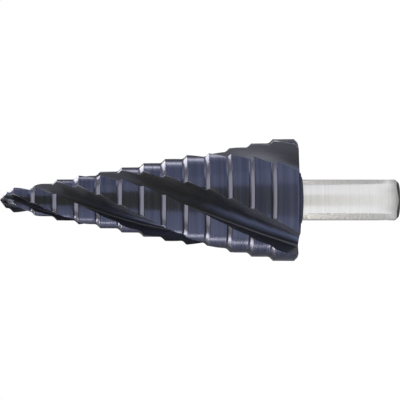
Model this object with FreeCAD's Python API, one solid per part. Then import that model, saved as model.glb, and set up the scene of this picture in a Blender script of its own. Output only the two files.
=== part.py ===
"""Step drill: one solid with a four-flute spiral step cone and a three-flat shank.

Millimetres. The origin is the centre of the shank's end face. +Z runs along the
axis to the point, so the drill stands on its shank. +X is the side that faces up
when the drill lies with its point to the left.
"""
import FreeCAD, Part
import math
import os

V = FreeCAD.Vector

# Point and pilot
POINT_ANGLE = 118.0
PILOT_DIAMETER = 4.0
PILOT_LENGTH = 2.3
FLANK_RELIEF = 22.0
HEEL_RELIEF = 40.0
FLANK_WIDTH = 0.55
GASH_ANGLE = 35.0
GASH_OPENING = 105.0
GASH_SET_OFF = 0.12

# Steps
DIAMETER_RISE = 2.0
STEP_COUNT = 13
STEP_PITCH = 5.25
RAMP_ANGLE = 45.0
LAST_STEP_LENGTH = 5.75
REAR_CHAMFER = 0.7
LAND_RELIEF = 0.025

# Flutes
FLUTE_COUNT = 4
HELIX_ANGLE = 25.75
FLUTE_BEARING = -142.2
RAKE_ANGLE = 15.0
FLOOR_SHARE = 0.55
FLOOR_DROP_ANGLE = 10.0
CORNER_WIDTH = 0.1
CORNER_GROWTH = 0.03
CORE_GROWTH = 0.76
MAIN_CORE_DROP = 0.75
MAIN_OPENING_TIP = 75.0
MAIN_OPENING_REAR = 37.5
SIDE_CORE_DROP = 0.4
SIDE_OPENING_TIP = 30.0
SIDE_OPENING_REAR = 34.0
SIDE_NARROW_DIAMETER = 18.0
SIDE_WIDE_DIAMETER = 24.0

# Collar and shank
COLLAR_DIAMETER = 12.0
COLLAR_HEIGHT = 1.25
COLLAR_EDGE = 0.3
SHANK_DIAMETER = 10.0
SHANK_LENGTH = 23.7
SHANK_CHAMFER = 0.8
FLAT_COUNT = 3
FLAT_DEPTH = 0.15
FLAT_BEARING = -24.0
FLAT_SET_OFF = 1.4

# Derived places along the axis
PILOT_RADIUS = PILOT_DIAMETER / 2
STEP_RISE = DIAMETER_RISE / 2
RAMP_HEIGHT = STEP_RISE / math.tan(math.radians(RAMP_ANGLE))
HEAD_BASE = SHANK_LENGTH + COLLAR_HEIGHT
LAST_CORNER = HEAD_BASE + LAST_STEP_LENGTH
FIRST_CORNER = LAST_CORNER + (STEP_COUNT - 1) * STEP_PITCH
PILOT_FOOT = FIRST_CORNER + RAMP_HEIGHT
TIP = PILOT_FOOT + PILOT_LENGTH
FIRST_RADIUS = PILOT_RADIUS + STEP_RISE
LAST_RADIUS = PILOT_RADIUS + STEP_COUNT * STEP_RISE
CONE_SLOPE = STEP_RISE / STEP_PITCH

# Working margins
OVERRUN = 2.0
CUTTER_REACH = 0.45
TWIST_PER_SECTION = 15.0
JUMP_ANGLE = 10.0


def polar(radius, angle, z=0.0):
    """Point at a radius and an angle in degrees from +X."""
    turn = math.radians(angle)
    return V(radius * math.cos(turn), radius * math.sin(turn), z)


def envelope_radius(z):
    """Radius of the cone that touches every step corner."""
    return FIRST_RADIUS + (FIRST_CORNER - z) * CONE_SLOPE


def spiral_angle(z):
    """Bearing of the reference cutting edge, which climbs the cone at one helix angle."""
    rate = math.degrees(math.tan(math.radians(HELIX_ANGLE)) / CONE_SLOPE)
    return FLUTE_BEARING + rate * math.log(LAST_RADIUS / envelope_radius(z))


def stations(z_low, z_high):
    """Heights from low to high, close enough for the spiral to turn evenly."""
    turn = abs(spiral_angle(z_high) - spiral_angle(z_low))
    count = max(1, math.ceil(turn / TWIST_PER_SECTION))
    low, high = envelope_radius(z_low), envelope_radius(z_high)
    radii = [low * (high / low) ** (i / count) for i in range(count + 1)]
    return [FIRST_CORNER - (r - FIRST_RADIUS) / CONE_SLOPE for r in radii]


# Stepped blank, each land falling away behind its cutting edge
def bezier(points):
    """Edge of a Bezier curve with these poles."""
    curve = Part.BezierCurve()
    curve.setPoles(points)
    return curve.toShape()


def land_edge(z, radius, front):
    """Eccentric arc of one land, from just ahead of its cutting edge to the next flute."""
    span = 360.0 / FLUTE_COUNT
    ahead, behind = front + JUMP_ANGLE, front + JUMP_ANGLE - span
    high = radius * (1 + LAND_RELIEF * JUMP_ANGLE / span)
    low = radius * (1 - LAND_RELIEF * (span - JUMP_ANGLE) / span)
    handle = 4 / 3 * math.tan(math.radians(span / 4))
    start, end = polar(low, behind, z), polar(high, ahead, z)
    start_handle = start + polar(low * handle, behind + 90)
    end_handle = end - polar(high * handle, ahead + 90)
    return bezier([start, start_handle, end_handle, end])


def blank_wire(z, radius):
    """Outline of four eccentric lands at one height, with its jumps inside the flutes."""
    fronts = [spiral_angle(z) + k * 360.0 / FLUTE_COUNT for k in range(FLUTE_COUNT)]
    lands = [land_edge(z, radius, front) for front in fronts]
    edges = []
    for k, land in enumerate(lands):
        follower = lands[(k + 1) % FLUTE_COUNT]
        edges.append(land)
        edges.append(Part.LineSegment(land.Vertexes[-1].Point, follower.Vertexes[0].Point).toShape())
    return Part.Wire(edges)


def blank():
    """Stepped cone from the rear chamfer to above the point."""
    rings = [(HEAD_BASE, LAST_RADIUS - REAR_CHAMFER)]
    z_low = HEAD_BASE + REAR_CHAMFER
    for n in range(STEP_COUNT):
        radius = LAST_RADIUS - n * STEP_RISE
        corner = LAST_CORNER + n * STEP_PITCH
        rings += [(z, radius) for z in stations(z_low, corner)]
        z_low = corner + RAMP_HEIGHT
    rings += [(z, PILOT_RADIUS) for z in stations(z_low, TIP + OVERRUN)]
    return Part.makeLoft([blank_wire(z, radius) for z, radius in rings], True, True)


# Flutes
def main_flute(radius):
    """Opening in degrees and core radius of a main flute, widest from the first step to the tip."""
    share = (FIRST_RADIUS / max(radius, FIRST_RADIUS)) ** 2
    widening = (MAIN_OPENING_TIP - MAIN_OPENING_REAR) * share
    return MAIN_OPENING_REAR + widening, CORE_GROWTH * radius - MAIN_CORE_DROP


def side_flute(radius):
    """Opening in degrees and core radius of a side flute, which widens over the middle steps."""
    narrow, wide = SIDE_NARROW_DIAMETER / 2, SIDE_WIDE_DIAMETER / 2
    share = min(1.0, max(0.0, (radius - narrow) / (wide - narrow)))
    opening = SIDE_OPENING_TIP + (SIDE_OPENING_REAR - SIDE_OPENING_TIP) * share
    return opening, CORE_GROWTH * radius - SIDE_CORE_DROP


def meeting_point(start, heading, end, arrival):
    """Where a line from start along heading meets the line through end along arrival."""
    gap = end - start
    reach = (gap.x * arrival.y - gap.y * arrival.x) / (heading.x * arrival.y - heading.y * arrival.x)
    return start + heading * reach


def flute_wire(z, bearing, form):
    """Section of a flute cutter: rake face hooked under its land, corner, hollow floor, heel wall."""
    radius = envelope_radius(z)
    opening, core = form(radius)
    edge = V(radius, 0, z)
    root = V(core, (core - radius) * math.tan(math.radians(RAKE_ANGLE)), z)
    heel = polar(radius, opening, z)
    rake = (edge - root).normalize()
    floor = polar(1, 90 + FLOOR_DROP_ANGLE)
    size = CORNER_WIDTH + CORNER_GROWTH * radius
    rake_end = root + rake * size
    floor_start = root + floor * size
    bend = meeting_point(floor_start, floor, V(0, 0, z), polar(1, opening * FLOOR_SHARE))
    edge_out = edge + rake * (radius * CUTTER_REACH)
    heel_out = heel + (heel - bend).normalize() * (radius * CUTTER_REACH)
    lid = polar(radius * (1 + CUTTER_REACH), opening / 2, z)
    edges = [
        Part.LineSegment(edge_out, rake_end).toShape(),
        Part.LineSegment(rake_end, floor_start).toShape(),
        bezier([floor_start, bend, heel]),
        Part.LineSegment(heel, heel_out).toShape(),
        Part.LineSegment(heel_out, lid).toShape(),
        Part.LineSegment(lid, edge_out).toShape(),
    ]
    wire = Part.Wire(edges)
    wire.rotate(V(0, 0, 0), V(0, 0, 1), spiral_angle(z) + bearing)
    return wire


def flute(bearing, form):
    """Cutter that follows the spiral from below the rear face to above the point."""
    heights = stations(HEAD_BASE - OVERRUN, TIP + OVERRUN)
    return Part.makeLoft([flute_wire(z, bearing, form) for z in heights], True, False)


def turned_shank():
    """Collar and shank in one turned profile."""
    half = SHANK_DIAMETER / 2
    rim = COLLAR_DIAMETER / 2
    outline = [
        V(0, 0, 0),
        V(half - SHANK_CHAMFER, 0, 0),
        V(half, 0, SHANK_CHAMFER),
        V(half, 0, SHANK_LENGTH - FLAT_SET_OFF),
        V(half, 0, SHANK_LENGTH),
        V(rim - COLLAR_EDGE, 0, SHANK_LENGTH),
        V(rim, 0, SHANK_LENGTH + COLLAR_EDGE),
        V(rim, 0, HEAD_BASE),
        V(0, 0, HEAD_BASE),
        V(0, 0, 0),
    ]
    return Part.Face(Part.makePolygon(outline)).revolve(V(0, 0, 0), V(0, 0, 1), 360)


def shank():
    """Turned collar and shank with its drive flats."""
    body = turned_shank()
    height = SHANK_LENGTH - FLAT_SET_OFF
    for k in range(FLAT_COUNT):
        slab = Part.makeBox(SHANK_DIAMETER, SHANK_DIAMETER, height + OVERRUN)
        slab.translate(V(SHANK_DIAMETER / 2 - FLAT_DEPTH, -SHANK_DIAMETER / 2, -OVERRUN))
        slab.rotate(V(0, 0, 0), V(0, 0, 1), FLAT_BEARING + k * 360.0 / FLAT_COUNT)
        body = body.cut(slab)
    return body


# Four-facet split point
def above_plane(point, normal):
    """Block that fills the side of a plane that its normal points to."""
    size = 2 * PILOT_DIAMETER
    block = Part.makeBox(size, size, size, V(-size / 2, -size / 2, 0))
    block.Placement = FreeCAD.Placement(point, FreeCAD.Rotation(V(0, 0, 1), normal))
    return block


def flank_cutters():
    """Flank and heel facets behind one lip, for a lip along +X with its flute at +Y."""
    fall = 1 / math.tan(math.radians(POINT_ANGLE / 2))
    flank = math.tan(math.radians(FLANK_RELIEF))
    heel = math.tan(math.radians(HEEL_RELIEF))
    bend = V(0, -FLANK_WIDTH, TIP - FLANK_WIDTH * flank)
    return [
        above_plane(V(0, 0, TIP), V(fall, -flank, 1)),
        above_plane(bend, V(fall, -heel, 1)),
    ]


def gash_cutter():
    """Wedge that thins the web in front of a lip along +X and splits the chisel edge."""
    lean = math.radians(GASH_ANGLE)
    opening = math.radians(GASH_OPENING)
    run = V(math.sin(lean), 0, -math.cos(lean))
    wall = V(math.cos(lean), 0, math.sin(lean))
    floor = wall * math.cos(opening) + V(0, math.sin(opening), 0)
    size = 1.5 * PILOT_DIAMETER
    start = V(0, GASH_SET_OFF, TIP) - run * PILOT_RADIUS
    triangle = [start, start + wall * size, start + floor * size, start]
    return Part.Face(Part.makePolygon(triangle)).extrude(run * size)


def point_cutters():
    """Facets and gashes of both lips, turned to the main flutes at the tip."""
    lip = spiral_angle(TIP) + 360.0 / FLUTE_COUNT
    cutters = []
    for k in range(2):
        for cutter in flank_cutters() + [gash_cutter()]:
            cutter.rotate(V(0, 0, 0), V(0, 0, 1), lip + 180.0 * k)
            cutters.append(cutter)
    return cutters


def step_drill():
    """The whole drill as one solid."""
    pitch_angle = 360.0 / FLUTE_COUNT
    cutters = []
    for k in range(FLUTE_COUNT):
        form = main_flute if k % 2 else side_flute
        cutters.append(flute(k * pitch_angle, form))
    head = blank().cut(cutters)
    head = head.cut(point_cutters())
    return head.fuse(shank())


os.makedirs("parts", exist_ok=True)
solid = step_drill()
solid.exportStep("parts/step_drill.step")
print("solids", len(solid.Solids), "valid", solid.isValid(), "volume", round(solid.Volume, 1))
print("faces", len(solid.Faces), "box", solid.BoundBox)
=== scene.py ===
"""Looks of the step drill: coated spiral step cone, split point and bright ground shank.

Sizes inside the classes are millimetres and bearings are degrees from +X, as on the
drill's drawing. Each finished piece is scaled to metres in the frame's own axes.
"""

import logging
import math
from collections.abc import Iterator, Sequence
from contextlib import contextmanager
from dataclasses import dataclass, field
from enum import Enum
from typing import Optional, Union

import bmesh
import bpy
from mathutils import Matrix, Vector

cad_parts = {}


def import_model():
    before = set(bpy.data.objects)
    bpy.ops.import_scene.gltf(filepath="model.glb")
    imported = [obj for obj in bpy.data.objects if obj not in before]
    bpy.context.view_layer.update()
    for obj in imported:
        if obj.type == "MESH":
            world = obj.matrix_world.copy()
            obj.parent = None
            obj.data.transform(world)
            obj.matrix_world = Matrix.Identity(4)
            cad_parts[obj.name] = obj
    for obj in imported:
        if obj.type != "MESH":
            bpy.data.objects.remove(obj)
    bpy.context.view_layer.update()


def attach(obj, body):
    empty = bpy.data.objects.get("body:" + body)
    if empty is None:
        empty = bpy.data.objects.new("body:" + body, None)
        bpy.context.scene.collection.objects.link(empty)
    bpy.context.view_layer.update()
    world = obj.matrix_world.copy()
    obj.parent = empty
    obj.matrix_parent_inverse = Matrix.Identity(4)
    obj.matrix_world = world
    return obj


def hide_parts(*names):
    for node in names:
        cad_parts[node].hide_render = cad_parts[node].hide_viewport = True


LOG = logging.getLogger("step_drill")
MILLIMETRE = 0.001
COLUMN_MARK = "flute_face"
PLACE_MARK = "along_flute"
Number = Union["Field", float, int]
Triple = tuple[float, float, float]
Socket = bpy.types.NodeSocket


class Finish(Enum):
    """Surface finishes of the drill, in the order of its material slots."""

    LAND = 0
    FLUTE = 1
    POINT = 2
    COLLAR = 3
    SHANK = 4
    EDGE = 5


Finishes = dict[Finish, bpy.types.Material]


# Node tree arithmetic


class Field:
    """Number inside a node tree that takes ordinary arithmetic."""

    def __init__(self, tree: bpy.types.NodeTree, socket: Socket) -> None:
        """Wraps one output socket of a tree."""
        self.tree = tree
        self.socket = socket

    def math(self, operation: str, *values: Number) -> "Field":
        """Adds a Math node.

        Args:
            operation: name of the Math node's operation.
            values: its inputs in order, as fields or plain numbers.

        Returns:
            The node's result.
        """
        node = self.tree.nodes.new("ShaderNodeMath")
        node.operation = operation
        for socket, value in zip(node.inputs, values):
            if isinstance(value, Field):
                self.tree.links.new(value.socket, socket)
            else:
                socket.default_value = value
        return Field(self.tree, node.outputs[0])

    def __add__(self, other: Number) -> "Field":
        """Sum."""
        return self.math("ADD", self, other)

    __radd__ = __add__

    def __sub__(self, other: Number) -> "Field":
        """Difference."""
        return self.math("SUBTRACT", self, other)

    def __rsub__(self, other: Number) -> "Field":
        """Difference from a plain number."""
        return self.math("SUBTRACT", other, self)

    def __mul__(self, other: Number) -> "Field":
        """Product."""
        return self.math("MULTIPLY", self, other)

    __rmul__ = __mul__

    def __truediv__(self, other: Number) -> "Field":
        """Quotient."""
        return self.math("DIVIDE", self, other)

    def __rtruediv__(self, other: Number) -> "Field":
        """Quotient of a plain number."""
        return self.math("DIVIDE", other, self)

    def root(self) -> "Field":
        """Square root."""
        return self.math("SQRT", self)

    def sine(self) -> "Field":
        """Sine of an angle in radians."""
        return self.math("SINE", self)

    def cosine(self) -> "Field":
        """Cosine of an angle in radians."""
        return self.math("COSINE", self)

    def tangent(self) -> "Field":
        """Tangent of an angle in radians."""
        return self.math("TANGENT", self)

    def radians(self) -> "Field":
        """Degrees turned into radians."""
        return self.math("RADIANS", self)

    def floor(self) -> "Field":
        """Next whole number below."""
        return self.math("FLOOR", self)

    def at_least(self, low: Number) -> "Field":
        """The larger of the two."""
        return self.math("MAXIMUM", self, low)

    def at_most(self, high: Number) -> "Field":
        """The smaller of the two."""
        return self.math("MINIMUM", self, high)

    def between(self, low: Number, high: Number) -> "Field":
        """Value held between two limits."""
        return self.at_least(low).at_most(high)

    def log(self) -> "Field":
        """Natural logarithm."""
        return self.math("LOGARITHM", self, math.e)

    def bearing_of(self, across: "Field") -> "Field":
        """Angle in degrees of the point (self, across)."""
        return self.math("DEGREES", self.math("ARCTAN2", across, self))


@dataclass(frozen=True)
class FlatPoint:
    """Point or heading across the drill's axis, with fields as coordinates."""

    x: Field
    y: Field

    def __add__(self, other: "FlatPoint") -> "FlatPoint":
        """Point moved by a heading."""
        return FlatPoint(self.x + other.x, self.y + other.y)

    def __sub__(self, other: "FlatPoint") -> "FlatPoint":
        """Heading between two points."""
        return FlatPoint(self.x - other.x, self.y - other.y)

    def __mul__(self, size: Number) -> "FlatPoint":
        """Heading made longer."""
        return FlatPoint(self.x * size, self.y * size)

    def dot(self, other: "FlatPoint") -> Field:
        """Scalar product."""
        return self.x * other.x + self.y * other.y

    def cross(self, other: "FlatPoint") -> Field:
        """Signed area between two headings."""
        return self.x * other.y - self.y * other.x

    def bearing(self) -> Field:
        """Angle in degrees from +X."""
        return self.x.bearing_of(self.y)

    def turned(self, angle: Field) -> "FlatPoint":
        """Point turned round the axis by an angle in degrees."""
        cosine, sine = angle.radians().cosine(), angle.radians().sine()
        return FlatPoint(self.x * cosine - self.y * sine, self.x * sine + self.y * cosine)


Curve = tuple[FlatPoint, FlatPoint, FlatPoint]


def polar_point(radius: Number, angle: Field) -> FlatPoint:
    """Point at a radius and an angle in degrees."""
    turn = angle.radians()
    return FlatPoint(turn.cosine() * radius, turn.sine() * radius)


def mix(start: FlatPoint, end: FlatPoint, share: Number) -> FlatPoint:
    """Point part of the way from start to end."""
    return start + (end - start) * share


def curve_point(curve: Curve, share: Field) -> FlatPoint:
    """Point on the quadratic curve with these three poles."""
    start, bend, end = curve
    return mix(mix(start, bend, share), mix(bend, end, share), share)


def ladder(index: Field, rungs: Sequence[tuple[int, Number]]) -> Field:
    """Height after a number of rows, where each run of rows spans a length.

    Args:
        index: row number, counted from 0.
        rungs: runs in order, each as its count of rows and its length.

    Returns:
        The height of that row.
    """
    height = index * 0.0
    first = 0
    for count, length in rungs:
        height = height + (index - first).between(0.0, count) * length / count
        first += count
    return height


def row_total(rungs: Sequence[tuple[int, Number]]) -> int:
    """Rows in all runs of a ladder."""
    return sum(count for count, _ in rungs)


def new_tree(name: str, kind: str, inputs: dict[str, str], outputs: dict[str, str]) -> bpy.types.NodeTree:
    """Makes a node group that holds only its sockets.

    Args:
        name: group name.
        kind: type of the tree.
        inputs: type of each input socket, by name.
        outputs: type of each output socket, by name.

    Returns:
        The group.
    """
    tree = bpy.data.node_groups.new(name, kind)
    for side, sockets in (("INPUT", inputs), ("OUTPUT", outputs)):
        for socket, value in sockets.items():
            tree.interface.new_socket(socket, in_out=side, socket_type=f"NodeSocket{value}")
    return tree


def joined(tree: bpy.types.NodeTree, *values: Field) -> Field:
    """Puts up to three numbers together as a vector.

    Args:
        tree: tree to add the node to.
        values: the numbers in order.

    Returns:
        The vector.
    """
    node = tree.nodes.new("ShaderNodeCombineXYZ")
    for socket, value in zip(node.inputs, values):
        tree.links.new(value.socket, socket)
    return Field(tree, node.outputs[0])


def parts(tree: bpy.types.NodeTree, vector: Socket) -> list[Field]:
    """Takes a vector apart.

    Args:
        tree: tree to add the node to.
        vector: the vector.

    Returns:
        Its three numbers.
    """
    node = tree.nodes.new("ShaderNodeSeparateXYZ")
    tree.links.new(vector, node.inputs[0])
    return [Field(tree, socket) for socket in node.outputs]


# Mesh helpers


@contextmanager
def edited(mesh: bpy.types.Mesh) -> Iterator[bmesh.types.BMesh]:
    """Opens a mesh for editing and writes it back.

    Args:
        mesh: the mesh.

    Yields:
        Its contents.
    """
    bm = bmesh.new()
    bm.from_mesh(mesh)
    yield bm
    bm.to_mesh(mesh)
    bm.free()
    mesh.update()


def new_object(name: str, mesh: bpy.types.Mesh) -> bpy.types.Object:
    """Puts an object that shows a mesh at the origin.

    Args:
        name: object name.
        mesh: the mesh.

    Returns:
        The object.
    """
    obj = bpy.data.objects.new(name, mesh)
    bpy.context.scene.collection.objects.link(obj)
    return obj


def evaluated_mesh(obj: bpy.types.Object, name: str) -> bpy.types.Mesh:
    """Makes a plain mesh of an object with its modifiers applied, and takes them off.

    Args:
        obj: the object.
        name: name of the new mesh.

    Returns:
        The mesh.
    """
    graph = bpy.context.evaluated_depsgraph_get()
    mesh = bpy.data.meshes.new_from_object(obj.evaluated_get(graph), depsgraph=graph)
    mesh.name = name
    obj.modifiers.clear()
    return mesh


def with_slots(mesh: bpy.types.Mesh, finishes: Finishes) -> None:
    """Gives a mesh the drill's full row of material slots and keeps each face's finish.

    Args:
        mesh: the mesh.
        finishes: material of each finish.
    """
    order = {finishes[finish].name: finish.value for finish in Finish}
    slots = [order[material.name] if material else 0 for material in mesh.materials] or [0]
    indices = [slots[face.material_index] for face in mesh.polygons]
    mesh.materials.clear()
    for finish in Finish:
        mesh.materials.append(finishes[finish])
    mesh.polygons.foreach_set("material_index", indices)


def combined(target: bpy.types.Object, tool: bpy.types.Object, operation: str) -> None:
    """Applies one exact Boolean and removes its tool.

    Args:
        target: object to change.
        tool: object to combine with it.
        operation: name of the Boolean's operation.
    """
    modifier = target.modifiers.new("combine", "BOOLEAN")
    modifier.object = tool
    modifier.operation = operation
    modifier.solver = "EXACT"
    modifier.material_mode = "INDEX"
    target.data = evaluated_mesh(target, target.name)
    bpy.data.objects.remove(tool)


# Step cone


@dataclass(frozen=True)
class StepSizes:
    """Steps of the cone, counted from the rear."""

    rear: float = 24.95
    corner: float = 30.7
    count: int = 13
    pitch: float = 5.25
    rise: float = 1.0
    ramp: float = 1.0
    radius: float = 15.0
    chamfer: float = 0.7
    land_relief: float = 0.025

    @property
    def slope(self) -> float:
        """Fall of the cone that touches every step corner."""
        return self.rise / self.pitch

    @property
    def first_radius(self) -> float:
        """Radius of the smallest step after the pilot."""
        return self.radius - (self.count - 1) * self.rise


@dataclass(frozen=True)
class FluteSizes:
    """Spiral flutes, in pairs of wide main flutes and narrow side flutes."""

    count: int = 4
    helix: float = 25.75
    bearing: float = -142.2
    rake_angle: float = 15.0
    floor_share: float = 0.55
    floor_heading: float = 100.0
    corner_width: float = 0.1
    corner_growth: float = 0.03
    core_growth: float = 0.76
    main_core_drop: float = 0.75
    main_opening_tip: float = 75.0
    main_opening_rear: float = 37.5
    side_core_drop: float = 0.4
    side_opening_tip: float = 30.0
    side_opening_rear: float = 34.0
    side_narrow_radius: float = 9.0
    side_wide_radius: float = 12.0

    @property
    def sector(self) -> float:
        """Angle from one cutting edge to the next."""
        return 360.0 / self.count


@dataclass(frozen=True)
class Columns:
    """Mesh columns of one sector, from its cutting edge over the flute to the next edge."""

    rake: int = 9
    corner: int = 3
    back: int = 18
    heel: int = 1
    land: int = 24
    edge: int = 1

    @property
    def flute(self) -> int:
        """Columns before the heel."""
        return self.rake + self.corner + self.back

    @property
    def sector(self) -> int:
        """Columns of the whole sector."""
        return self.flute + self.heel + self.land + self.edge

    def shares(self, column: Field) -> list[Field]:
        """How far a column has gone along each run of columns.

        Args:
            column: column number inside the sector.

        Returns:
            The shares from 0 to 1, for rake, corner, back, heel, land and edge.
        """
        found, first = [], 0
        for count in (self.rake, self.corner, self.back, self.heel, self.land, self.edge):
            found.append((column - first).between(0.0, count) / count)
            first += count
        return found


@dataclass
class StepCone:
    """Stepped cone with four spiral flutes, up to a plain stub above the point.

    Attributes:
        steps: sizes of the steps.
        flutes: sizes of the flutes.
        columns: mesh columns of one sector.
        edge_width: half the width of the rounding across an edge.
        support: distance from a rounding to the row that holds its shape.
        heel_width: width of the rounding along a heel.
        glint_width: how much wider it gets just behind a corner.
        glint_reach: length over which it gets wider.
        glint_end: length over which it ends at the corner.
        foot_reach: how far a ramp's rounded foot reaches to each side.
        row_slack: share of a row that keeps a whole number from being rounded down.
        merge_distance: distance below which vertices become one.
        newton_rounds: steps that find where the hollow meets the land.
    """

    steps: StepSizes = field(default_factory=StepSizes)
    flutes: FluteSizes = field(default_factory=FluteSizes)
    columns: Columns = field(default_factory=Columns)
    edge_width: float = 0.045
    support: float = 0.135
    heel_width: float = 0.012
    glint_width: float = 0.10
    glint_reach: float = 2.0
    glint_end: float = 0.1
    foot_reach: float = 0.4
    row_slack: float = 0.001
    merge_distance: float = 0.0005
    newton_rounds: int = 4

    def rear_rungs(self) -> list[tuple[int, float]]:
        """Rows from the rear face to just below the largest corner.

        Returns:
            Runs of rows, each as its count and its length.
        """
        steps, edge, support = self.steps, 2 * self.edge_width, self.support
        chamfer = steps.chamfer - self.edge_width - support
        plain = steps.corner - steps.rear - steps.chamfer - edge - 2 * support
        return [(2, chamfer), (1, support), (1, edge), (1, support), (7, plain), (1, support)]

    def step_rungs(self) -> list[tuple[int, float]]:
        """Rows of one step: its corner, its ramp, the rounded foot and the next land.

        Returns:
            Runs of rows, each as its count and its length.
        """
        steps, edge, support, foot = self.steps, 2 * self.edge_width, self.support, self.foot_reach
        ramp = steps.ramp - self.edge_width - support - foot
        land = steps.pitch - steps.ramp - foot - support - self.edge_width
        return [(1, edge), (1, support), (2, ramp), (6, 2 * foot), (5, land), (1, support)]

    def heights(self, row: Field) -> Field:
        """Height of each row.

        Args:
            row: row number, counted from the rear face.

        Returns:
            Its height.
        """
        rear, step = self.rear_rungs(), self.step_rungs()
        step_rows = row_total(step)
        above = (row - row_total(rear)).at_least(0.0)
        period = (above / step_rows + self.row_slack).floor().at_most(self.steps.count - 1)
        inside = above - period * step_rows
        return ladder(row, rear) + ladder(inside, step) + period * self.steps.pitch + self.steps.rear

    def row_count(self) -> int:
        """Rows of vertices from the rear face to the stub's end."""
        return row_total(self.rear_rungs()) + row_total(self.step_rungs()) * self.steps.count + 1

    def body_radius(self, height: Field) -> Field:
        """Radius of the stepped outline, with a rounded foot at each ramp.

        Args:
            height: height on the axis.

        Returns:
            The radius there.
        """
        steps, foot = self.steps, self.foot_reach
        above = height - steps.corner
        period = (above / steps.pitch).floor().between(0.0, steps.count - 1)
        to_foot = period * steps.pitch + steps.ramp - above
        rounding = (to_foot + foot).between(0.0, 2 * foot)
        raised = to_foot.at_least(rounding * rounding / (4 * foot)).at_most(steps.ramp)
        radius = steps.radius - (period + 1.0) * steps.rise + raised * (steps.rise / steps.ramp)
        return radius.at_most(height - steps.rear + (steps.radius - steps.chamfer))

    def section(self, envelope: Field, main: Field) -> tuple[Field, Field]:
        """Opening in degrees and core radius of a flute.

        Args:
            envelope: radius of the cone that touches every corner.
            main: 1 for a main flute and 0 for a side flute.

        Returns:
            The opening and the core radius.
        """
        f = self.flutes
        first = self.steps.first_radius
        share = first / envelope.at_least(first)
        main_opening = f.main_opening_rear + share * share * (f.main_opening_tip - f.main_opening_rear)
        widening = f.side_wide_radius - f.side_narrow_radius
        share = ((envelope - f.side_narrow_radius) / widening).between(0.0, 1.0)
        side_opening = f.side_opening_tip + share * (f.side_opening_rear - f.side_opening_tip)
        opening = side_opening + (main_opening - side_opening) * main
        drop = f.side_core_drop + main * (f.main_core_drop - f.side_core_drop)
        return opening, envelope * f.core_growth - drop

    def hollow(self, root: FlatPoint, size: Field, opening: Field, envelope: Field) -> Curve:
        """Curve of a flute's hollow back, from its corner up to the heel.

        Args:
            root: sharp corner between the rake face and the hollow.
            size: length that the rounded corner takes of each.
            opening: opening of the flute in degrees.
            envelope: radius of the cone that touches every corner.

        Returns:
            The curve's poles.
        """
        none = envelope * 0.0
        heading = math.radians(self.flutes.floor_heading)
        floor = FlatPoint(none + math.cos(heading), none + math.sin(heading))
        start = root + floor * size
        arrival = polar_point(1.0, opening * self.flutes.floor_share)
        bend = start + floor * (arrival.cross(start) / floor.cross(arrival))
        return start, bend, polar_point(envelope, opening)

    def crossing(self, hollow: Curve, radius: Field, edge_angle: Field) -> Field:
        """Finds where the hollow back meets the land, by Newton's method.

        Args:
            hollow: curve of the hollow back.
            radius: radius of the stepped outline there.
            edge_angle: bearing of the sector's own cutting edge.

        Returns:
            The share of the curve at which they meet.
        """
        start, bend, heel = hollow
        share = radius * 0.0 + 1.0
        for _ in range(self.newton_rounds):
            place = curve_point(hollow, share)
            pace = mix(bend - start, heel - bend, share) * 2.0
            goal = self.land_radius(radius, place.bearing(), edge_angle)
            share = share - (place.dot(place) - goal * goal) / (place.dot(pace) * 2.0)
        return share

    def land_radius(self, radius: Field, angle: Field, edge_angle: Field) -> Field:
        """Radius of the land at an angle, as it falls away behind the next cutting edge."""
        behind = edge_angle + self.flutes.sector - angle
        return radius * (1.0 - behind * (self.steps.land_relief / self.flutes.sector))

    def heel_wear(self, envelope: Field) -> Field:
        """Width of the rounding along the heel, which is widest just behind each corner.

        Args:
            envelope: radius of the cone that touches every corner.

        Returns:
            The width.
        """
        steps, reach = self.steps, self.glint_reach
        above = (steps.radius - envelope) / steps.slope + reach
        inside = above - (above / steps.pitch).floor() * steps.pitch
        ending = (reach + self.glint_end - inside) / self.glint_end
        near = (inside / reach).at_most(ending).at_least(0.0)
        return near * self.glint_width + self.heel_width

    def outline(self, column: Field, radius: Field, envelope: Field, main: Field) -> FlatPoint:
        """Point of one sector's outline: rake face, corner, hollow back, heel and land.

        Args:
            column: column number inside the sector.
            radius: radius of the stepped outline there.
            envelope: radius of the cone that touches every corner.
            main: 1 for a main flute and 0 for a side flute.

        Returns:
            The point, for a sector whose cutting edge lies along +X on the envelope.
        """
        opening, core = self.section(envelope, main)
        lean = -math.tan(math.radians(self.flutes.rake_angle))
        stretch = 1 + lean * lean
        size = envelope * self.flutes.corner_growth + self.flutes.corner_width
        inner = envelope * envelope - radius * radius
        edge_reach = (envelope - (envelope * envelope - inner * stretch).root()) / stretch
        end_reach = envelope - core - size / math.sqrt(stretch)
        root = FlatPoint(core, (envelope - core) * lean)
        hollow = self.hollow(root, size, opening, envelope)

        # The hollow's end and the land's start, both cut back by the worn heel
        edge_angle = FlatPoint(envelope - edge_reach, edge_reach * lean).bearing()
        crossing = self.crossing(hollow, radius, edge_angle)
        worn = self.heel_wear(envelope)
        heel_angle = curve_point(hollow, crossing).bearing() + worn * math.degrees(1.0) / radius
        start, bend, heel = hollow
        last_share = crossing * (1.0 - worn / (heel - bend).dot(heel - bend).root())
        next_angle = edge_angle + self.flutes.sector
        last_angle = next_angle - (self.edge_width / math.radians(1.0)) / radius

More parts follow.
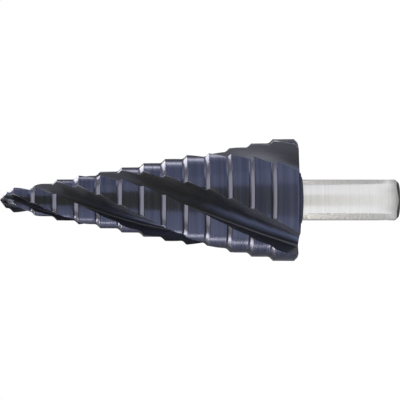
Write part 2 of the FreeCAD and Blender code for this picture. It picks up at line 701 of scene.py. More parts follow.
        # Runs of columns, each going on from the last one's end
        on_rake, on_corner, on_back, on_heel, on_land, on_edge = self.columns.shares(column)
        reach = edge_reach + (end_reach - edge_reach) * on_rake
        rake = FlatPoint(envelope - reach, reach * lean)
        rake_end = FlatPoint(envelope - end_reach, end_reach * lean)
        corner = curve_point((rake_end, root, start), on_corner) - rake_end
        back = curve_point(hollow, on_back * last_share) - start
        angle = heel_angle + (last_angle - heel_angle) * on_land + (next_angle - last_angle) * on_edge
        land_start = polar_point(self.land_radius(radius, heel_angle, edge_angle), heel_angle)
        over_heel = (land_start - curve_point(hollow, last_share)) * on_heel
        land = polar_point(self.land_radius(radius, angle, edge_angle), angle) - land_start
        return rake + corner + back + over_heel + land

    def tree(self, finishes: Finishes) -> bpy.types.NodeTree:
        """Builds the tree that turns a plain grid into the fluted cone.

        Args:
            finishes: material of each finish.

        Returns:
            The tree, with inputs for the grid, the helix and the first bearing.
        """
        inputs = {"Columns": "Int", "Rows": "Int", "Helix": "Float", "Bearing": "Float"}
        tree = new_tree("step_cone", "GeometryNodeTree", inputs, {"Cone": "Geometry"})
        nodes, link = tree.nodes, tree.links.new
        given = nodes.new("NodeGroupInput")
        columns, rows, helix, bearing = (Field(tree, given.outputs[name]) for name in inputs)

        grid = nodes.new("GeometryNodeMeshGrid")
        sizes = {"Size X": columns - 1.0, "Size Y": rows - 1.0, "Vertices X": columns, "Vertices Y": rows}
        for name, value in sizes.items():
            link(value.socket, grid.inputs[name])
        across, along, _ = parts(tree, nodes.new("GeometryNodeInputPosition").outputs[0])
        column = across + (columns - 1.0) / 2.0
        height = self.heights(along + (rows - 1.0) / 2.0)

        per_sector = self.columns.sector
        sector = ((column + self.row_slack) / per_sector).floor().at_most(self.flutes.count - 1)
        inside = column - sector * per_sector
        main = sector - (sector / 2.0).floor() * 2.0
        envelope = self.steps.radius - (height - self.steps.corner) * self.steps.slope
        point = self.outline(inside, self.body_radius(height), envelope, main)
        rate = helix.radians().tangent() * (1.0 / self.steps.slope)
        turn = rate * (self.steps.radius / envelope).log() * math.degrees(1.0)
        point = point.turned(turn + bearing + sector * self.flutes.sector)

        marked = self.store(tree, grid.outputs["Mesh"], COLUMN_MARK, ("FLOAT", "FACE"), inside)
        place = joined(tree, inside / per_sector + main, height * MILLIMETRE)
        marked = self.store(tree, marked, PLACE_MARK, ("FLOAT2", "CORNER"), place)
        shape = nodes.new("GeometryNodeSetPosition")
        link(marked, shape.inputs["Geometry"])
        link(joined(tree, point.x, point.y, height).socket, shape.inputs["Position"])
        merge = nodes.new("GeometryNodeMergeByDistance")
        merge.inputs["Distance"].default_value = self.merge_distance
        link(shape.outputs[0], merge.inputs["Geometry"])
        realize = nodes.new("GeometryNodeRealizeInstances")
        link(merge.outputs[0], realize.inputs[0])
        painted = self.paint(tree, realize.outputs[0], finishes)
        link(painted, nodes.new("NodeGroupOutput").inputs[0])
        return tree

    @staticmethod
    def store(
        tree: bpy.types.NodeTree, mesh: Socket, name: str, kind: tuple[str, str], value: Field
    ) -> Socket:
        """Keeps a field on the mesh under a name.

        Args:
            tree: tree to add the node to.
            mesh: geometry to mark.
            name: attribute name.
            kind: attribute type, and the mesh elements that carry it.
            value: field to keep.

        Returns:
            The marked geometry.
        """
        node = tree.nodes.new("GeometryNodeStoreNamedAttribute")
        node.data_type, node.domain = kind
        node.inputs["Name"].default_value = name
        tree.links.new(mesh, node.inputs["Geometry"])
        tree.links.new(value.socket, node.inputs["Value"])
        return node.outputs[0]

    def paint(self, tree: bpy.types.NodeTree, mesh: Socket, finishes: Finishes) -> Socket:
        """Gives lands, heels and flutes their finishes by the columns they lie in.

        Args:
            tree: tree to add the nodes to.
            mesh: geometry to paint.
            finishes: material of each finish.

        Returns:
            The painted geometry.
        """
        read = tree.nodes.new("GeometryNodeInputNamedAttribute")
        read.inputs["Name"].default_value = COLUMN_MARK
        number = Field(tree, read.outputs["Attribute"])
        ends = {Finish.EDGE: self.columns.flute + self.columns.heel, Finish.FLUTE: self.columns.flute}
        for finish in (Finish.LAND, Finish.EDGE, Finish.FLUTE):
            node = tree.nodes.new("GeometryNodeSetMaterial")
            node.inputs["Material"].default_value = finishes[finish]
            tree.links.new(mesh, node.inputs["Geometry"])
            if finish in ends:
                before = number.math("LESS_THAN", number, float(ends[finish]))
                tree.links.new(before.socket, node.inputs["Selection"])
            mesh = node.outputs[0]
        return mesh

    def build(self, finishes: Finishes) -> bpy.types.Object:
        """Makes the closed cone.

        Args:
            finishes: material of each finish.

        Returns:
            The cone as an object in millimetres.
        """
        tree = self.tree(finishes)
        values = {
            "Columns": self.flutes.count * self.columns.sector + 1,
            "Rows": self.row_count(),
            "Helix": self.flutes.helix,
            "Bearing": self.flutes.bearing,
        }
        source = new_object("cone_source", bpy.data.meshes.new("cone_source"))
        modifier = source.modifiers.new("cone", "NODES")
        modifier.node_group = tree
        for item in tree.interface.items_tree:
            if item.in_out == "INPUT":
                modifier[item.identifier] = values[item.name]
        mesh = evaluated_mesh(source, "cone")
        bpy.data.objects.remove(source)
        with_slots(mesh, finishes)
        with edited(mesh) as bm:
            open_edges = [edge for edge in bm.edges if edge.is_boundary]
            bmesh.ops.edgeloop_fill(bm, edges=open_edges, mat_nr=Finish.LAND.value)
            bmesh.ops.recalc_face_normals(bm, faces=bm.faces)
        return new_object("cone", mesh)


# Point and shank


@dataclass
class SplitPoint:
    """Four-facet point with two gashes.

    Attributes:
        tip: height of the point.
        point_angle: angle between the lips.
        flank_relief: fall of the flank behind its lip.
        heel_relief: fall of the heel facet behind the flank.
        flank_width: width of the flank at the axis.
        gash_angle: lean of the gash from the axis.
        gash_opening: angle between the gash's walls.
        gash_set_off: distance of the gash from the axis.
        gash_lift: how far above the point the gash starts.
        gash_size: length and depth of the gash's wedge.
        cut_tolerance: distance below which a vertex lies in a cutting plane.
    """

    tip: float = 97.0
    point_angle: float = 118.0
    flank_relief: float = 22.0
    heel_relief: float = 40.0
    flank_width: float = 0.55
    gash_angle: float = 35.0
    gash_opening: float = 105.0
    gash_set_off: float = 0.12
    gash_lift: float = 2.0
    gash_size: float = 6.0
    cut_tolerance: float = 0.00001

    def planes(self) -> list[tuple[Vector, Vector]]:
        """Flank and heel planes behind a lip along +X.

        Returns:
            Each plane as a point and its outward normal.
        """
        fall = 1 / math.tan(math.radians(self.point_angle / 2))
        flank = math.tan(math.radians(self.flank_relief))
        heel = math.tan(math.radians(self.heel_relief))
        bend = Vector((0, -self.flank_width, self.tip - self.flank_width * flank))
        return [(Vector((0, 0, self.tip)), Vector((fall, -flank, 1))), (bend, Vector((fall, -heel, 1)))]

    def gash(self) -> bpy.types.Mesh:
        """Makes the wedge that splits the chisel edge in front of a lip along +X.

        Returns:
            Its mesh.
        """
        lean = math.radians(self.gash_angle)
        opening = math.radians(self.gash_opening)
        run = Vector((math.sin(lean), 0, -math.cos(lean)))
        wall = Vector((math.cos(lean), 0, math.sin(lean)))
        floor = wall * math.cos(opening) + Vector((0, math.sin(opening), 0))
        size = self.gash_size
        start = Vector((0, self.gash_set_off, self.tip)) - run * self.gash_lift
        corners = [start, start + wall * size, start + floor * size]
        points = [corner + run * (size * side) for side in (0, 1) for corner in corners]
        faces = [(0, 1, 2), (5, 4, 3), (1, 0, 3, 4), (2, 1, 4, 5), (0, 2, 5, 3)]
        mesh = bpy.data.meshes.new("gash")
        mesh.from_pydata(points, [], faces)
        return mesh

    def cut(self, cone: bpy.types.Object, lip: float, finishes: Finishes) -> None:
        """Grinds the point on the cone's stub.

        Args:
            cone: the cone, in millimetres.
            lip: bearing of the first lip.
            finishes: material of each finish.
        """
        turns = [Matrix.Rotation(math.radians(lip + 180.0 * k), 3, "Z") for k in range(2)]
        with edited(cone.data) as bm:
            for turn in turns:
                for point, normal in self.planes():
                    self.grind(bm, turn @ point, (turn @ normal).normalized())
        for turn in turns:
            mesh = self.gash()
            mesh.transform(turn.to_4x4())
            with edited(mesh) as bm:
                bmesh.ops.recalc_face_normals(bm, faces=bm.faces)
            with_slots(mesh, finishes)
            mesh.polygons.foreach_set("material_index", [Finish.POINT.value] * len(mesh.polygons))
            combined(cone, new_object("gash", mesh), "DIFFERENCE")

    def grind(self, bm: bmesh.types.BMesh, point: Vector, normal: Vector) -> None:
        """Takes away what lies outside a plane and closes the cut.

        Args:
            bm: mesh to cut.
            point: point of the plane.
            normal: its outward normal.
        """
        bounds = {"plane_co": point, "plane_no": normal, "dist": self.cut_tolerance}
        everything = [*bm.verts, *bm.edges, *bm.faces]
        cut = bmesh.ops.bisect_plane(bm, geom=everything, clear_outer=True, **bounds)
        edges = [item for item in cut["geom_cut"] if isinstance(item, bmesh.types.BMEdge)]
        rim = [edge for edge in edges if edge.is_boundary]
        bmesh.ops.edgeloop_fill(bm, edges=rim, mat_nr=Finish.POINT.value)


@dataclass
class Shank:
    """Collar and straight shank with three drive flats.

    Attributes:
        radius: radius of the shank.
        length: length of the shank up to the collar.
        end_chamfer: chamfer at its end.
        collar_radius: radius of the collar.
        collar_height: height of the collar.
        collar_edge: chamfer at the collar's lower rim.
        flat_count: number of flats.
        flat_depth: depth of a flat.
        flat_bearing: bearing of the first flat.
        flat_set_off: distance from the flats' upper end to the collar.
        bevel: half the width of the rounding across an edge.
        support: distance from a rounding to the row that holds its shape.
        run_out: height over which a flat ends.
        overlap: how far the collar reaches into the cone.
        arc_columns: mesh columns between two flats.
        flat_columns: mesh columns across a flat.
    """

    radius: float = 5.0
    length: float = 23.7
    end_chamfer: float = 0.8
    collar_radius: float = 6.0
    collar_height: float = 1.25
    collar_edge: float = 0.3
    flat_count: int = 3
    flat_depth: float = 0.15
    flat_bearing: float = -24.0
    flat_set_off: float = 1.4
    bevel: float = 0.05
    support: float = 0.2
    run_out: float = 0.03
    overlap: float = 0.6
    arc_columns: int = 36
    flat_columns: int = 6

    @property
    def flat_end(self) -> float:
        """Height at which the flats end."""
        return self.length - self.flat_set_off

    def profile(self) -> list[tuple[float, float]]:
        """Turned outline, from the end face up into the cone.

        Returns:
            Heights and radii of its points.
        """
        b, r, rim = self.bevel, self.radius, self.collar_radius
        rise = self.length + self.collar_edge
        return [
            (0.0, r - self.end_chamfer - b),
            (b, r - self.end_chamfer + b),
            (self.end_chamfer - b, r - b),
            (self.end_chamfer + b, r),
            (self.end_chamfer + b + self.support, r),
            (self.length / 2, r),
            (self.flat_end - self.support, r),
            (self.flat_end, r),
            (self.flat_end + self.run_out, r),
            (self.flat_end + self.support, r),
            (self.length - b, r),
            (self.length, r + b),
            (self.length, rim - self.collar_edge - b),
            (self.length + b, rim - self.collar_edge),
            (rise - b, rim - b),
            (rise + b, rim),
            (self.length + self.collar_height + self.overlap, rim),
        ]

    def bearings(self) -> list[float]:
        """Bearings of the mesh columns, with one at each side of every flat.

        Returns:
            The bearings in order.
        """
        half = math.degrees(math.acos(1 - self.flat_depth / self.radius))
        turn = 360.0 / self.flat_count
        arc = turn - 2 * half
        found = []
        for k in range(self.flat_count):
            middle = self.flat_bearing + k * turn
            found += [middle - half + 2 * half * i / self.flat_columns for i in range(self.flat_columns)]
            found += [middle + half + arc * i / self.arc_columns for i in range(self.arc_columns)]
        return found

    def ring_radius(self, height: float, radius: float, bearing: float) -> float:
        """Radius of a ring at a bearing, with the flats taken off below their end.

        Args:
            height: height of the ring.
            radius: radius of the turned outline there.
            bearing: bearing of the point.

        Returns:
            The radius.
        """
        if height > self.flat_end or radius > self.radius:
            return radius
        turn = 360.0 / self.flat_count
        off = (bearing - self.flat_bearing + turn / 2) % turn - turn / 2
        return min(radius, (self.radius - self.flat_depth) / math.cos(math.radians(off)))

    def build(self, finishes: Finishes) -> bpy.types.Object:
        """Makes the collar and shank as one closed mesh in millimetres.

        Args:
            finishes: material of each finish.

        Returns:
            The object.
        """
        bearings = self.bearings()
        points = []
        for height, radius in self.profile():
            for bearing in bearings:
                r, turn = self.ring_radius(height, radius, bearing), math.radians(bearing)
                points.append((r * math.cos(turn), r * math.sin(turn), height))
        wide = len(bearings)
        faces = [tuple(reversed(range(wide))), tuple(range(len(points) - wide, len(points)))]
        for low in range(0, len(points) - wide, wide):
            for k in range(wide):
                after = (k + 1) % wide
                faces.append((low + k, low + after, low + wide + after, low + wide + k))
        mesh = bpy.data.meshes.new("shank")
        mesh.from_pydata(points, [], faces)
        with_slots(mesh, finishes)
        edge = self.length - self.bevel / 2
        kinds = [Finish.COLLAR if face.center.z > edge else Finish.SHANK for face in mesh.polygons]
        mesh.polygons.foreach_set("material_index", [kind.value for kind in kinds])
        return new_object("shank", mesh)


# Materials


class ShaderTree:
    """Short forms for building a shader or a shader group."""

    def __init__(self, tree: bpy.types.NodeTree) -> None:
        """Keeps the tree to build in."""
        self.tree = tree

    def add(
        self, kind: str, inputs: Optional[dict[str, object]] = None, **settings: object
    ) -> bpy.types.Node:
        """Adds a node.

        Args:
            kind: type of the node.
            inputs: values and sockets for its inputs, by name.
            settings: its settings.

        Returns:
            The node.
        """
        node = self.tree.nodes.new(kind)
        for name, value in settings.items():
            setattr(node, name, value)
        self.fill(node, inputs or {})
        return node

    def fill(self, node: bpy.types.Node, inputs: dict[str, object]) -> None:
        """Sets or links a node's inputs.

        Args:
            node: the node.
            inputs: values and sockets for its inputs, by name.
        """
        for name, value in inputs.items():
            if isinstance(value, Socket):
                self.join(value, node.inputs[name])
            else:
                node.inputs[name].default_value = value

    def join(self, output: Socket, target: Socket) -> None:
        """Links an output to an input."""
        self.tree.links.new(output, target)

    def stretched(self, vector: Socket, scale: Sequence[float]) -> Socket:
        """Scales a vector along each axis.

        Args:
            vector: the vector.
            scale: the three factors.

        Returns:
            The scaled vector.
        """
        node = self.add("ShaderNodeVectorMath", operation="MULTIPLY")
        self.join(vector, node.inputs[0])
        node.inputs[1].default_value = scale
        return node.outputs[0]

    def ranged(self, value: Socket, limits: Sequence[float]) -> Socket:
        """Maps a value from one range to another.

        Args:
            value: the value.
            limits: low and high end of its own range, then of the new one.

        Returns:
            The mapped value.
        """
        names = ("From Min", "From Max", "To Min", "To Max")
        return self.add("ShaderNodeMapRange", {"Value": value, **dict(zip(names, limits))}).outputs[0]

    def blended(self, share: Socket, first: Union[Socket, Triple], second: Union[Socket, Triple]) -> Socket:
        """Blends two colours.

        Args:
            share: share of the second colour.
            first: the first colour.
            second: the second colour.

        Returns:
            The blend.
        """
        node = self.add("ShaderNodeMix", data_type="RGBA")
        self.join(share, node.inputs[0])
        for socket, colour in ((node.inputs[6], first), (node.inputs[7], second)):
            if isinstance(colour, Socket):
                self.join(colour, socket)
            else:
                socket.default_value = (*colour, 1.0)
        return node.outputs[2]

    def rays(self, *kinds: str) -> Socket:
        """Tells some kinds of rays from the others.

        Args:
            kinds: output names of the Light Path node.

        Returns:
            1 for these rays and 0 for others.
        """
        path = self.add("ShaderNodeLightPath")
        total = path.outputs[kinds[0]]
        for kind in kinds[1:]:
            node = self.add("ShaderNodeMath", operation="ADD", use_clamp=True)
            self.join(total, node.inputs[0])
            self.join(path.outputs[kind], node.inputs[1])
            total = node.outputs[0]
        return total

    def mixed(self, share: Socket, first: Socket, second: Socket) -> Socket:
        """Mixes two shaders.

        Args:
            share: share of the second shader.
            first: the first shader.
            second: the second shader.

        Returns:
            The mix.
        """
        node = self.add("ShaderNodeMixShader")
        for socket, output in zip(node.inputs, (share, first, second)):
            self.join(output, socket)
        return node.outputs[0]


def new_material(name: str) -> tuple[bpy.types.Material, ShaderTree, bpy.types.Node]:
    """Makes a material with its usual shader.

    Args:
        name: material name.

    Returns:
        The material, its tree and its Principled BSDF.
    """
    material = bpy.data.materials.new(name)
    material.use_nodes = True
    return material, ShaderTree(material.node_tree), material.node_tree.nodes["Principled BSDF"]


def ramp_group(steps: StepSizes, blur: float = 0.35) -> bpy.types.NodeTree:
    """Builds the shader group that tells the steps' ramps from their lands by height.

    Args:
        steps: sizes of the steps.
        blur: distance over which the mask changes, to each side.

    Returns:
        The group.
    """
    tree = new_tree("ramp_mask", "ShaderNodeTree", {"Position": "Vector"}, {"Ramp": "Float"})
    shader = ShaderTree(tree)
    *_, height = parts(tree, shader.add("NodeGroupInput").outputs[0])
    above = height / MILLIMETRE - steps.corner
    inside = above - (above / steps.pitch).floor() * steps.pitch
    ramp = ((steps.ramp + blur - inside) / (2 * blur)).at_most(above + 1.0).between(0.0, 1.0)
    shader.join(ramp.socket, shader.add("NodeGroupOutput").inputs[0])
    return tree


def grinding_group() -> bpy.types.NodeTree:
    """Builds the shader group of grinding lines, across the last axis of a stretched vector.

    Returns:
        The group, with the scales of its fine lines and its coarse bands as inputs.
    """
    inputs = {"Vector": "Vector", "Fine": "Float", "Coarse": "Float"}
    tree = new_tree("grinding_lines", "ShaderNodeTree", inputs, {"Lines": "Float", "Bands": "Float"})
    shader = ShaderTree(tree)
    given = shader.add("NodeGroupInput")
    result = shader.add("NodeGroupOutput")
    for scale, name, detail in (("Fine", "Lines", 4.0), ("Coarse", "Bands", 2.0)):
        values = {"Detail": detail, "Vector": given.outputs["Vector"], "Scale": given.outputs[scale]}
        shader.join(shader.add("ShaderNodeTexNoise", values).outputs["Fac"], result.inputs[name])
    return tree


@dataclass(frozen=True)
class PaintedReflectionBand:
    """Painted reflection: a duller, bluer band in the hollow of the flutes that stands in for the bright
    surroundings mirrored there, and gets faint towards the point.

    Attributes:
        start: share of a sector at which it begins.
        middle: share at which it is fullest.
        end: share at which it ends.
        colour: its colour, which paints in the reflection.
        dulling: how much rougher its middle is, and half of how much less metallic.
        full: height in metres up to which it is full in the side flutes.
        faint: height from which it is faint there.
        main_strength: its strength in the main flutes.
        main_lead: how much further up it gets faint there, as a multiple of faint less full.
        least: strength at which it stays.
    """

    start: float = 0.23
    middle: float = 0.31
    end: float = 0.37
    colour: Triple = (0.21, 0.25, 0.44)
    dulling: float = 0.25
    full: float = 0.038
    faint: float = 0.050
    main_strength: float = 0.55
    main_lead: float = 2.0
    least: float = 0.1

    def mask(self, tree: bpy.types.NodeTree, place: Socket) -> Field:
        """Mask of the painted reflection band, 1 at its middle and 0 at both ends.

        Args:
            tree: tree to add the nodes to.
            place: the share of the sector, with 1 added in main flutes, and the height in metres.

        Returns:
            The mask.
        """
        along, height, _ = parts(tree, place)
        main = along.floor()
        share = along - main
        rising = (share - self.start) / (self.middle - self.start)
        falling = (self.end - share) / (self.end - self.middle)
        rear = (self.faint - height) / (self.faint - self.full)
        wide = self.main_strength * main * (rear + self.main_lead).between(self.least, 1.0)
        strength = wide.at_least(rear.between(self.least, 1.0))
        return rising.at_most(falling).between(0.0, 1.0) * strength


@dataclass(frozen=True)
class GroundFinish:
    """Metal surface with grinding lines.

    Attributes:
        name: material name.
        dark: colour in the lines.
        light: colour between the lines.
        roughness: lowest and highest roughness.
        stretch: scale of the pattern along each axis, in lines per metre.
        depth: height of the lines in metres.
        along_flute: whether the lines follow the flutes instead of the axis.
        metallic: how metallic the surface is.
        coat: strength of a thin clear gloss over the colour.
        coat_roughness: roughness of that gloss.
        coarseness: scale of the coarse bands, as a share of the lines' scale.
        band_limits: values of the coarse noise that give the dark and the light colour.
        line_limits: values of the fine noise that give the lowest and highest roughness.
        ramp: colour of the steps' ramps, where it differs.
        reflection_band: painted reflection, as a band in the hollow of the flutes.
        edge_tint: brightness of its mirror at a glancing view.
        shade_to_point: painted shade, as heights in metres between which it darkens towards the point, and
            what is left.
    """

    name: str
    dark: Triple
    light: Triple
    roughness: tuple[float, float]
    stretch: Triple
    depth: float
    along_flute: bool = False
    metallic: float = 1.0
    coat: float = 0.0
    coat_roughness: float = 0.15
    coarseness: float = 0.27
    band_limits: tuple[float, float] = (0.3, 0.7)
    line_limits: tuple[float, float] = (0.25, 0.75)
    ramp: Optional[Triple] = None
    reflection_band: Optional[PaintedReflectionBand] = None
    edge_tint: float = 1.0
    shade_to_point: Optional[Triple] = None

    def build(self, grinding: bpy.types.NodeTree) -> bpy.types.Material:
        """Makes the material.

        Args:
            grinding: the shader group of grinding lines.

        Returns:
            The material.
        """
        material, shader, surface = new_material(self.name)
        place = shader.add("ShaderNodeTexCoord").outputs["Object"]
        if self.along_flute:
            place = shader.add("ShaderNodeAttribute", attribute_name=PLACE_MARK).outputs["Vector"]
        scales = {"Vector": shader.stretched(place, self.stretch), "Fine": 1.0, "Coarse": self.coarseness}
        lines = shader.add("ShaderNodeGroup", node_tree=grinding)
        shader.fill(lines, scales)
        share = shader.ranged(lines.outputs["Bands"], (*self.band_limits, 0.0, 1.0))
        colour = self.shaded(shader, place, shader.blended(share, self.dark, self.light))
        rough = shader.ranged(lines.outputs["Lines"], (*self.line_limits, *self.roughness))
        metallic: Union[float, Socket] = self.metallic
        # Painted reflection: a bluer, duller band blended into the colour in the flutes' hollow
        if self.reflection_band:
            reflection_mask = self.reflection_band.mask(shader.tree, place)
            less = self.reflection_band.dulling * reflection_mask
            colour = shader.blended(reflection_mask.socket, colour, self.reflection_band.colour)
            metallic = (self.metallic - 2.0 * less).socket
            rough = (Field(shader.tree, rough) + less).socket
        bump = {"Distance": self.depth, "Height": lines.outputs["Lines"]}
        values = {
            "Base Color": colour,
            "Metallic": metallic,
            "Roughness": rough,
            "Specular Tint": (*[self.edge_tint] * 3, 1.0),
            "Coat Weight": self.coat,
            "Coat Roughness": self.coat_roughness,
            "Normal": shader.add("ShaderNodeBump", bump).outputs[0],
        }
        shader.fill(surface, values)
        return material

    def shaded(self, shader: ShaderTree, place: Socket, colour: Socket) -> Socket:
        """Colours the ramps, and paints shade that darkens the surface towards the point.

        Args:
            shader: the material's tree.
            place: position on the drill in metres, where ramps differ.
            colour: colour of the plain surface.

        Returns:
            The colour.
        """
        if self.ramp:
            mask = shader.add("ShaderNodeGroup", node_tree=ramp_group(StepSizes()))
            shader.join(place, mask.inputs[0])
            colour = shader.blended(mask.outputs[0], colour, self.ramp)
        # Painted shade: the colour darkens towards the point
        if self.shade_to_point:
            low, high, left = self.shade_to_point
            *_, height = parts(shader.tree, shader.add("ShaderNodeTexCoord").outputs["Object"])
            kept = shader.ranged(height.socket, (low, high, 1.0, left))
            colour = shader.blended(kept, (0.0, 0.0, 0.0), colour)
        return colour


FINISHES = {
    Finish.LAND: GroundFinish(
        name="coated_land",
        dark=(0.048, 0.056, 0.108),
        light=(0.078, 0.087, 0.152),
        roughness=(0.20, 0.32),
        stretch=(60.0, 60.0, 3600.0),
        depth=0.000004,
        coat=0.3,
        ramp=(0.071, 0.069, 0.090),
        edge_tint=0.5,
    ),
    Finish.FLUTE: GroundFinish(
        name="coated_flute",
        dark=(0.063, 0.065, 0.083),
        light=(0.079, 0.082, 0.112),
        roughness=(0.22, 0.34),
        stretch=(160.0, 12.0, 1.0),
        depth=0.000006,
        along_flute=True,
        metallic=0.45,
        reflection_band=PaintedReflectionBand(),
        shade_to_point=(0.038, 0.050, 0.80),
    ),
    Finish.POINT: GroundFinish(
        name="coated_point",
        dark=(0.020, 0.021, 0.026),
        light=(0.110, 0.112, 0.150),
        roughness=(0.20, 0.50),
        stretch=(2500.0, 2500.0, 2500.0),
        depth=0.000004,
    ),
    Finish.COLLAR: GroundFinish(
        name="coated_collar",
        dark=(0.045, 0.048, 0.070),
        light=(0.075, 0.080, 0.110),
        roughness=(0.30, 0.42),
        stretch=(60.0, 60.0, 3600.0),
        depth=0.000004,
    ),
    Finish.EDGE: GroundFinish(
        name="worn_edge",
        dark=(0.22, 0.22, 0.26),
        light=(0.34, 0.34, 0.38),
        roughness=(0.25, 0.35),
        stretch=(60.0, 60.0, 3600.0),
        depth=0.000002,
    ),
    Finish.SHANK: GroundFinish(
        name="ground_shank",
        dark=(0.73, 0.73, 0.74),
        light=(0.79, 0.79, 0.80),
        roughness=(0.22, 0.29),
        stretch=(90.0, 90.0, 5200.0),
        depth=0.000001,
    ),
}


@dataclass
class Drill:
    """The whole drill as one dressed piece."""

    cone: StepCone = field(default_factory=StepCone)
    point: SplitPoint = field(default_factory=SplitPoint)
    shank: Shank = field(default_factory=Shank)
    sharp_angle: float = 38.0

    def lip_bearing(self) -> float:
        """Finds where the cutting edge of the first main flute ends at the tip.

        Returns:
            Its bearing there.
        """
        steps, flutes = self.cone.steps, self.cone.flutes
        envelope = steps.radius - (self.point.tip - steps.corner) * steps.slope
        rate = math.degrees(math.tan(math.radians(flutes.helix)) / steps.slope)
        return flutes.bearing + rate * math.log(steps.radius / envelope) + flutes.sector

    def build(self) -> bpy.types.Object:
        """Makes the dressed drill, in metres, riding on the frame.

        Returns:
            The finished piece.
        """
        grinding = grinding_group()
        finishes = {finish: FINISHES[finish].build(grinding) for finish in Finish}
        drill = self.cone.build(finishes)
        LOG.info("cone: %d faces", len(drill.data.polygons))
        self.point.cut(drill, self.lip_bearing(), finishes)
        LOG.info("point ground: %d faces", len(drill.data.polygons))
        combined(drill, self.shank.build(finishes), "UNION")
        mesh = drill.data
        mesh.transform(Matrix.Scale(MILLIMETRE, 4))
        mesh.shade_smooth()
        mesh.set_sharp_from_angle(angle=math.radians(self.sharp_angle))
        drill.name = "coated_drill"
        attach(drill, "root")
        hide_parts("step_drill")
        LOG.info("coated_drill: %d faces", len(mesh.polygons))
        return drill


# Studio


class LampRole(Enum):
    """What a lamp is for."""

    MIRRORED = "seen in glossy surfaces"
    FILL = "lights dull surfaces"


@dataclass(frozen=True)
class Softbox:
    """Area lamp that faces a point on the drill's axis.

    Attributes:
        name: lamp name.
        bearing: direction it stands in, in degrees from the camera's side up over the drill.
        elevation: how far it is raised towards the drill's point, in degrees.
        height: height of the point on the axis that it faces.
        distance: distance from that point.
        size: width round the axis and length along it.
        radiance: brightness of its face.
        tint: colour of its light.
        role: which light it gives.
    """

    name: str
    bearing: float
    elevation: float
    height: float
    distance: float
    size: tuple[float, float]
    radiance: float
    tint: Triple = (1.0, 1.0, 1.0)
    role: LampRole = LampRole.MIRRORED

    def build(self) -> bpy.types.Object:
        """Hangs the lamp.

        Returns:
            The lamp.
        """
        lamp = bpy.data.lights.new(self.name, "AREA")
        lamp.shape = "RECTANGLE"
        lamp.size, lamp.size_y = self.size
        lamp.color = self.tint
        lamp.energy = self.radiance * math.pi * self.size[0] * self.size[1]
        turn, rise = math.radians(self.bearing), math.radians(self.elevation)
        level = Vector((math.sin(turn), -math.cos(turn), 0.0))
        away = level * math.cos(rise) + Vector((0, 0, math.sin(rise)))
        across = Vector((math.cos(turn), math.sin(turn), 0.0))
        place = Matrix((across, away.cross(across), away)).transposed().to_4x4()
        place.translation = away * self.distance + Vector((0, 0, self.height))
        obj = bpy.data.objects.new(self.name, lamp)
        obj.matrix_world = place
        obj.visible_glossy = self.role is LampRole.MIRRORED
        obj.visible_diffuse = self.role is LampRole.FILL
        bpy.context.scene.collection.objects.link(obj)
        return obj


def panel(first: Triple, last: Triple) -> list[Sequence[float]]:
    """Corners of an upright or level rectangle.

    Args:
        first: one corner.
        last: the opposite corner, at the same place along one axis.

    Returns:
        The four corners in order.
    """
    axis = next(k for k in range(3) if first[k] != last[k])
    second, fourth = list(first), list(last)
    second[axis], fourth[axis] = last[axis], first[axis]
    return [first, second, last, fourth]


def flat_mesh(name: str, panels: Sequence[Sequence[Sequence[float]]]) -> bpy.types.Mesh:
    """Makes a mesh of four-cornered panels.

    Args:
        name: mesh name.
        panels: corners of each panel.

    Returns:
        The mesh.
    """
    corners = [corner for quad in panels for corner in quad]
    mesh = bpy.data.meshes.new(name)
    mesh.from_pydata(corners, [], [tuple(range(k, k + 4)) for k in range(0, len(corners), 4)])
    return mesh


def hang_card(name: str, shade: Triple, *panels: Sequence[Sequence[float]]) -> bpy.types.Object:
    """Hangs a card that only reflections show.

    Args:
        name: object name.
        shade: how bright it looks, as a colour.
        panels: corners of each of its parts.

    Returns:
        The card.
    """
    card = new_object(name, flat_mesh(name, panels))
    material, shader, _ = new_material(name)
    glow = shader.add("ShaderNodeEmission", {"Color": (*shade, 1)})
    shader.fill(material.node_tree.nodes["Material Output"], {"Surface": glow.outputs[0]})
    card.data.materials.append(material)
    card.visible_camera = False
    card.visible_diffuse = False
    card.visible_shadow = False
    return card


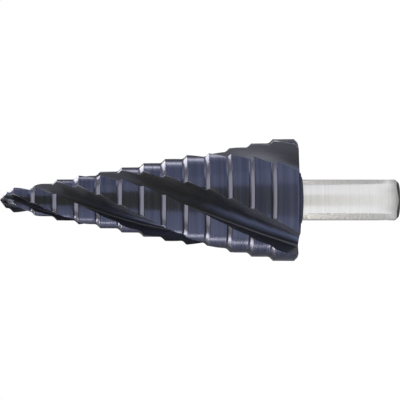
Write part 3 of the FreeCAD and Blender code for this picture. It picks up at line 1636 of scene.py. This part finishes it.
@dataclass
class Studio:
    """White light tent, floor, cards and camera, in metres.

    Attributes:
        camera_height: height of the camera.
        camera_distance: its distance from the axis.
        aim_height: height on the axis at the picture's middle.
        lens: focal length in millimetres.
        sensor: width of the sensor in millimetres.
        clip: nearest and furthest distance that the camera sees.
        sky: brightness of the tent for plain light.
        floor_size: side of the floor.
        floor_white: how white the floor is.
        floor_glow: brightness of the floor for the camera and in reflections.
        floor_share: share of that glow in its look.
        card_gap: distance from the camera back to the cards behind it.
        card_foot: height of the cards' lower edges.
        shank_gap: half the width of the slot between the grey cards.
        lamps: the lamps.
    """

    camera_height: float = 0.069
    camera_distance: float = 0.5
    aim_height: float = 0.04846
    lens: float = 185.1
    sensor: float = 36.0
    clip: tuple[float, float] = (0.01, 20.0)
    sky: float = 0.34
    floor_size: float = 6.0
    floor_white: float = 0.9
    floor_glow: float = 1.14
    floor_share: float = 0.85
    card_gap: float = 0.03
    card_foot: float = 0.001
    shank_gap: float = 0.012
    lamps: tuple[Softbox, ...] = (
        Softbox("upper_strip", 123.0, 0.0, 0.055, 0.40, (0.085, 0.08), 5.2, (1.0, 0.92, 0.74)),
        Softbox("upper_back", 148.0, 33.0, 0.040, 0.26, (0.11, 0.11), 7.0),
        Softbox("upper_side", 78.0, 22.0, 0.055, 0.60, (0.28, 0.14), 1.8),
        Softbox("lower_side", -98.0, 8.0, 0.050, 0.60, (0.30, 0.30), 17.0, role=LampRole.FILL),
        Softbox("lower_strip", -106.0, 0.0, 0.050, 0.40, (0.050, 0.08), 7.2, (1.0, 0.92, 0.74)),
        Softbox("lower_back", -132.0, 37.0, 0.045, 0.60, (0.11, 0.11), 11.0),
        Softbox("above_point", 0.0, 90.0, 0.060, 0.70, (0.90, 0.40), 2.0),
    )

    def world(self) -> None:
        """White surroundings for the camera and reflections, softer for plain light."""
        world = bpy.data.worlds.new("tent")
        bpy.context.scene.world = world
        world.use_nodes = True
        world.node_tree.nodes.clear()
        shader = ShaderTree(world.node_tree)
        seen = shader.rays("Is Camera Ray", "Is Glossy Ray", "Is Transmission Ray")
        white = (1, 1, 1, 1)
        plain = shader.add("ShaderNodeBackground", {"Color": white, "Strength": self.sky})
        bright = shader.add("ShaderNodeBackground", {"Color": white})
        tent = shader.mixed(seen, plain.outputs[0], bright.outputs[0])
        shader.add("ShaderNodeOutputWorld", {"Surface": tent})

    def floor(self) -> bpy.types.Object:
        """Lays the white floor under the shank's end.

        Returns:
            The floor.
        """
        half = self.floor_size / 2
        floor = new_object("floor", flat_mesh("floor", [panel((-half, -half, 0), (half, half, 0))]))
        material, shader, surface = new_material("floor_white")
        white = (*[self.floor_white] * 3, 1)
        shader.fill(surface, {"Base Color": white, "Roughness": 1.0, "Specular IOR Level": 0.0})
        glow = shader.add("ShaderNodeEmission", {"Strength": self.floor_glow})
        seen = shader.rays("Is Camera Ray", "Is Glossy Ray")
        share = shader.ranged(seen, (0.0, 1.0, 0.0, self.floor_share))
        mixed = shader.mixed(share, surface.outputs[0], glow.outputs[0])
        shader.fill(material.node_tree.nodes["Material Output"], {"Surface": mixed})
        floor.data.materials.append(material)
        return floor

    def upright_cards(self) -> None:
        """Hangs dark cards behind the camera and beside it, and grey ones across from it."""
        low, front, behind = self.card_foot, -(self.camera_distance + self.card_gap), 0.45
        left, seam, right, shelf = -0.75, 0.16, 0.90, 0.15
        wall = panel((-0.35, front, low), (0.29, front, shelf))
        apron = [(-0.225, -0.34, low), (0.186, -0.34, low), (0.29, front, low), (-0.35, front, low)]
        hang_card("front_cards", (0.33, 0.31, 0.17), wall, apron)
        hood = panel((left, front, shelf), (seam, front, 0.70))
        wing = [(seam, front, shelf), (right, front, shelf), (right, front, 0.60), (seam, front, 0.38)]
        side = panel((left, front, 0.22), (left, behind, 0.85))
        hang_card("dark_cards", (0.20, 0.19, 0.12), hood, wing, side)
        screen = panel((0.45, behind, low), (-0.45, behind, shelf))
        corner = panel((-0.12, behind, shelf), (-0.45, behind, 0.30))
        hang_card("back_cards", (0.32, 0.32, 0.34), screen, corner)
        hang_card("side_card", (0.58, 0.58, 0.60), panel((right, front, low), (right, 0.24, 0.20)))

    def level_cards(self) -> None:
        """Lays grey cards on the floor beside the shank, and dark ones under it as painted shade of the
        floor round the shank's end, seen in reflections.
        """
        low, gap = self.card_foot, self.shank_gap
        lower = panel((-1.4, 0.0, low), (-gap, 1.2, low))
        upper = panel((gap, 0.01, low), (0.40, 0.35, low))
        hang_card("grey_cards", (0.46, 0.46, 0.46), lower, upper)
        # Painted shade: dark cards under the shank's end stand in for the floor's shadow there in
        # reflections
        under = (("foot_shade_card", 0.017, 0.00005, 0.38), ("end_shade_card", 0.0047, 0.0001, 0.06))
        for name, half, lift, shade in under:
            hang_card(name, (shade, shade, shade), panel((-half, -half, lift), (half, half, lift)))

    def camera(self) -> bpy.types.Object:
        """Puts the camera beside the drill, rolled so that the point lies to the left.

        Returns:
            The camera.
        """
        eye = Vector((0, -self.camera_distance, self.camera_height))
        back = (eye - Vector((0, 0, self.aim_height))).normalized()
        up = Vector((1, 0, 0))
        data = bpy.data.cameras.new("camera")
        data.lens = self.lens
        data.sensor_width = self.sensor
        data.clip_start, data.clip_end = self.clip
        camera = bpy.data.objects.new("camera", data)
        place = Matrix((up.cross(back), up, back)).transposed().to_4x4()
        place.translation = eye
        camera.matrix_world = place
        bpy.context.scene.collection.objects.link(camera)
        bpy.context.scene.camera = camera
        return camera

    def build(self) -> None:
        """Sets up surroundings, floor, cards, lamps and camera."""
        bpy.context.scene.view_settings.view_transform = "Standard"
        self.world()
        self.floor()
        self.upright_cards()
        self.level_cards()
        for lamp in self.lamps:
            lamp.build()
            LOG.info("lamp %s hung", lamp.name)
        self.camera()


def main() -> None:
    """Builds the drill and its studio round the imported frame."""
    logging.basicConfig(level=logging.INFO)
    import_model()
    Drill().build()
    Studio().build()
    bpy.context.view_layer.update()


if __name__ == "__main__":
    main()
